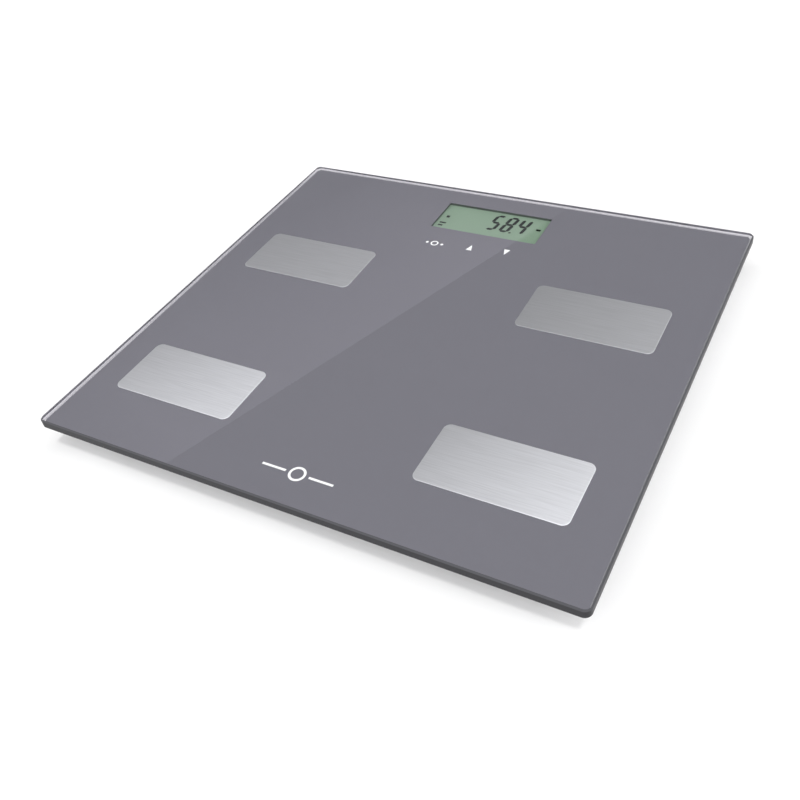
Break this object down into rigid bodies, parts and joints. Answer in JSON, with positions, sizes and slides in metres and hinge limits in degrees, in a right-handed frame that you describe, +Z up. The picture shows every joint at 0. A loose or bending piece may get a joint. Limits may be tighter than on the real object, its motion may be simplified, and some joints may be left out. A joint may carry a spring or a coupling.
{
  "type": "digital bathroom scale",
  "caption": "Slim glass-topped digital bathroom scale with steel foot electrodes, a green display and printed touch keys.",
  "frame": {"origin": "on the floor, under the middle of the glass platform", "axes": "+X to the user's right, +Y towards the display, +Z up"},
  "size_m": [0.3, 0.28, 0.0223],
  "materials": {
    "clear_glass": "polished tempered glass",
    "grey_print": "mauve-grey screen print on a bonded film",
    "brushed_steel": "stainless steel brushed along its length",
    "zinc_steel": "zinc-plated steel",
    "cell_steel": "nickel-plated spring steel",
    "clear_adhesive": "clear adhesive sheet",
    "foam": "closed-cell foam tape",
    "tray_plastic": "off-white moulded plastic, finely textured",
    "foot_plastic": "grey moulded plastic",
    "foot_rubber": "dark grey rubber",
    "label_paper": "blank silver-grey label",
    "gauge_film": "amber polyimide film",
    "board_green": "glass-fibre board with green solder mask",
    "lcd_glass": "green-tinted display behind a glass face",
    "light_guide": "milky light guide",
    "black_plastic": "dark moulded plastic",
    "silicone": "conductive silicone strip",
    "resin": "black resin",
    "spring_steel": "bright spring wire",
    "contact_nickel": "nickel-plated strip",
    "coin_steel": "bright stainless can",
    "lead_insulation": "insulated wire"
  },
  "bodies": {
    "platform": {"base_tray": "tray_plastic", "battery_contact_negative": "contact_nickel", "battery_contact_positive": "contact_nickel", "battery_leads": "lead_insulation", "board_screws": "zinc_steel", "bond_tape": "foam", "cell_carrier_back_left": "foot_plastic", "cell_carrier_back_right": "foot_plastic", "cell_carrier_front_left": "foot_plastic", "cell_carrier_front_right": "foot_plastic", "circuit_board": "board_green", "coin_cell": "coin_steel", "connector_strips": "silicone", "controller_chip": "resin", "electrode_adhesive": "clear_adhesive", "electrode_back_left": "brushed_steel", "electrode_back_right": "brushed_steel", "electrode_front_left": "brushed_steel", "electrode_front_right": "brushed_steel", "electrode_leads": "lead_insulation", "electrode_nuts": "zinc_steel", "electrode_terminals": "zinc_steel", "glass_platform": "clear_glass", "key_spring_down": "spring_steel", "key_spring_set": "spring_steel", "key_spring_up": "spring_steel", "lcd_backlight": "light_guide", "lcd_bezel": "black_plastic", "lcd_panel": "lcd_glass", "load_cell_back_left": "cell_steel", "load_cell_back_right": "cell_steel", "load_cell_front_left": "cell_steel", "load_cell_front_right": "cell_steel", "load_cell_leads": "lead_insulation", "printed_film": "grey_print", "rating_label": "label_paper", "strain_gauges": "gauge_film", "unit_switch": "black_plastic"},
    "front_left_foot": {"foot_front_left": "foot_plastic", "foot_pad_front_left": "foot_rubber"},
    "front_right_foot": {"foot_front_right": "foot_plastic", "foot_pad_front_right": "foot_rubber"},
    "back_left_foot": {"foot_back_left": "foot_plastic", "foot_pad_back_left": "foot_rubber"},
    "back_right_foot": {"foot_back_right": "foot_plastic", "foot_pad_back_right": "foot_rubber"},
    "button": {"unit_button": "foot_plastic", "switch_plunger": "black_plastic"},
    "door": {"battery_door": "tray_plastic"}
  },
  "joints": [
    {"name": "front_left_foot_press", "type": "slide", "parent": "platform", "child": "front_left_foot", "axis": [0, 0, 1], "range_m": [0, 0.0004], "stiffness_N_per_m": 1000000, "deforming": ["load_cell_front_left"]},
    {"name": "front_right_foot_press", "type": "slide", "parent": "platform", "child": "front_right_foot", "axis": [0, 0, 1], "range_m": [0, 0.0004], "stiffness_N_per_m": 1000000, "deforming": ["load_cell_front_right"]},
    {"name": "back_left_foot_press", "type": "slide", "parent": "platform", "child": "back_left_foot", "axis": [0, 0, 1], "range_m": [0, 0.0004], "stiffness_N_per_m": 1000000, "deforming": ["load_cell_back_left"]},
    {"name": "back_right_foot_press", "type": "slide", "parent": "platform", "child": "back_right_foot", "axis": [0, 0, 1], "range_m": [0, 0.0004], "stiffness_N_per_m": 1000000, "deforming": ["load_cell_back_right"]},
    {"name": "unit_button_press", "type": "slide", "parent": "platform", "child": "button", "axis": [0, 0, 1], "range_m": [0, 0.0004], "stiffness_N_per_m": 2000, "springref_m": -0.0005},
    {"name": "battery_door_hinge", "type": "hinge", "parent": "platform", "child": "door", "pos_m": [0, 0.0287, 0.0045], "axis": [-1, 0, 0], "range_deg": [0, 65]}
  ]
}
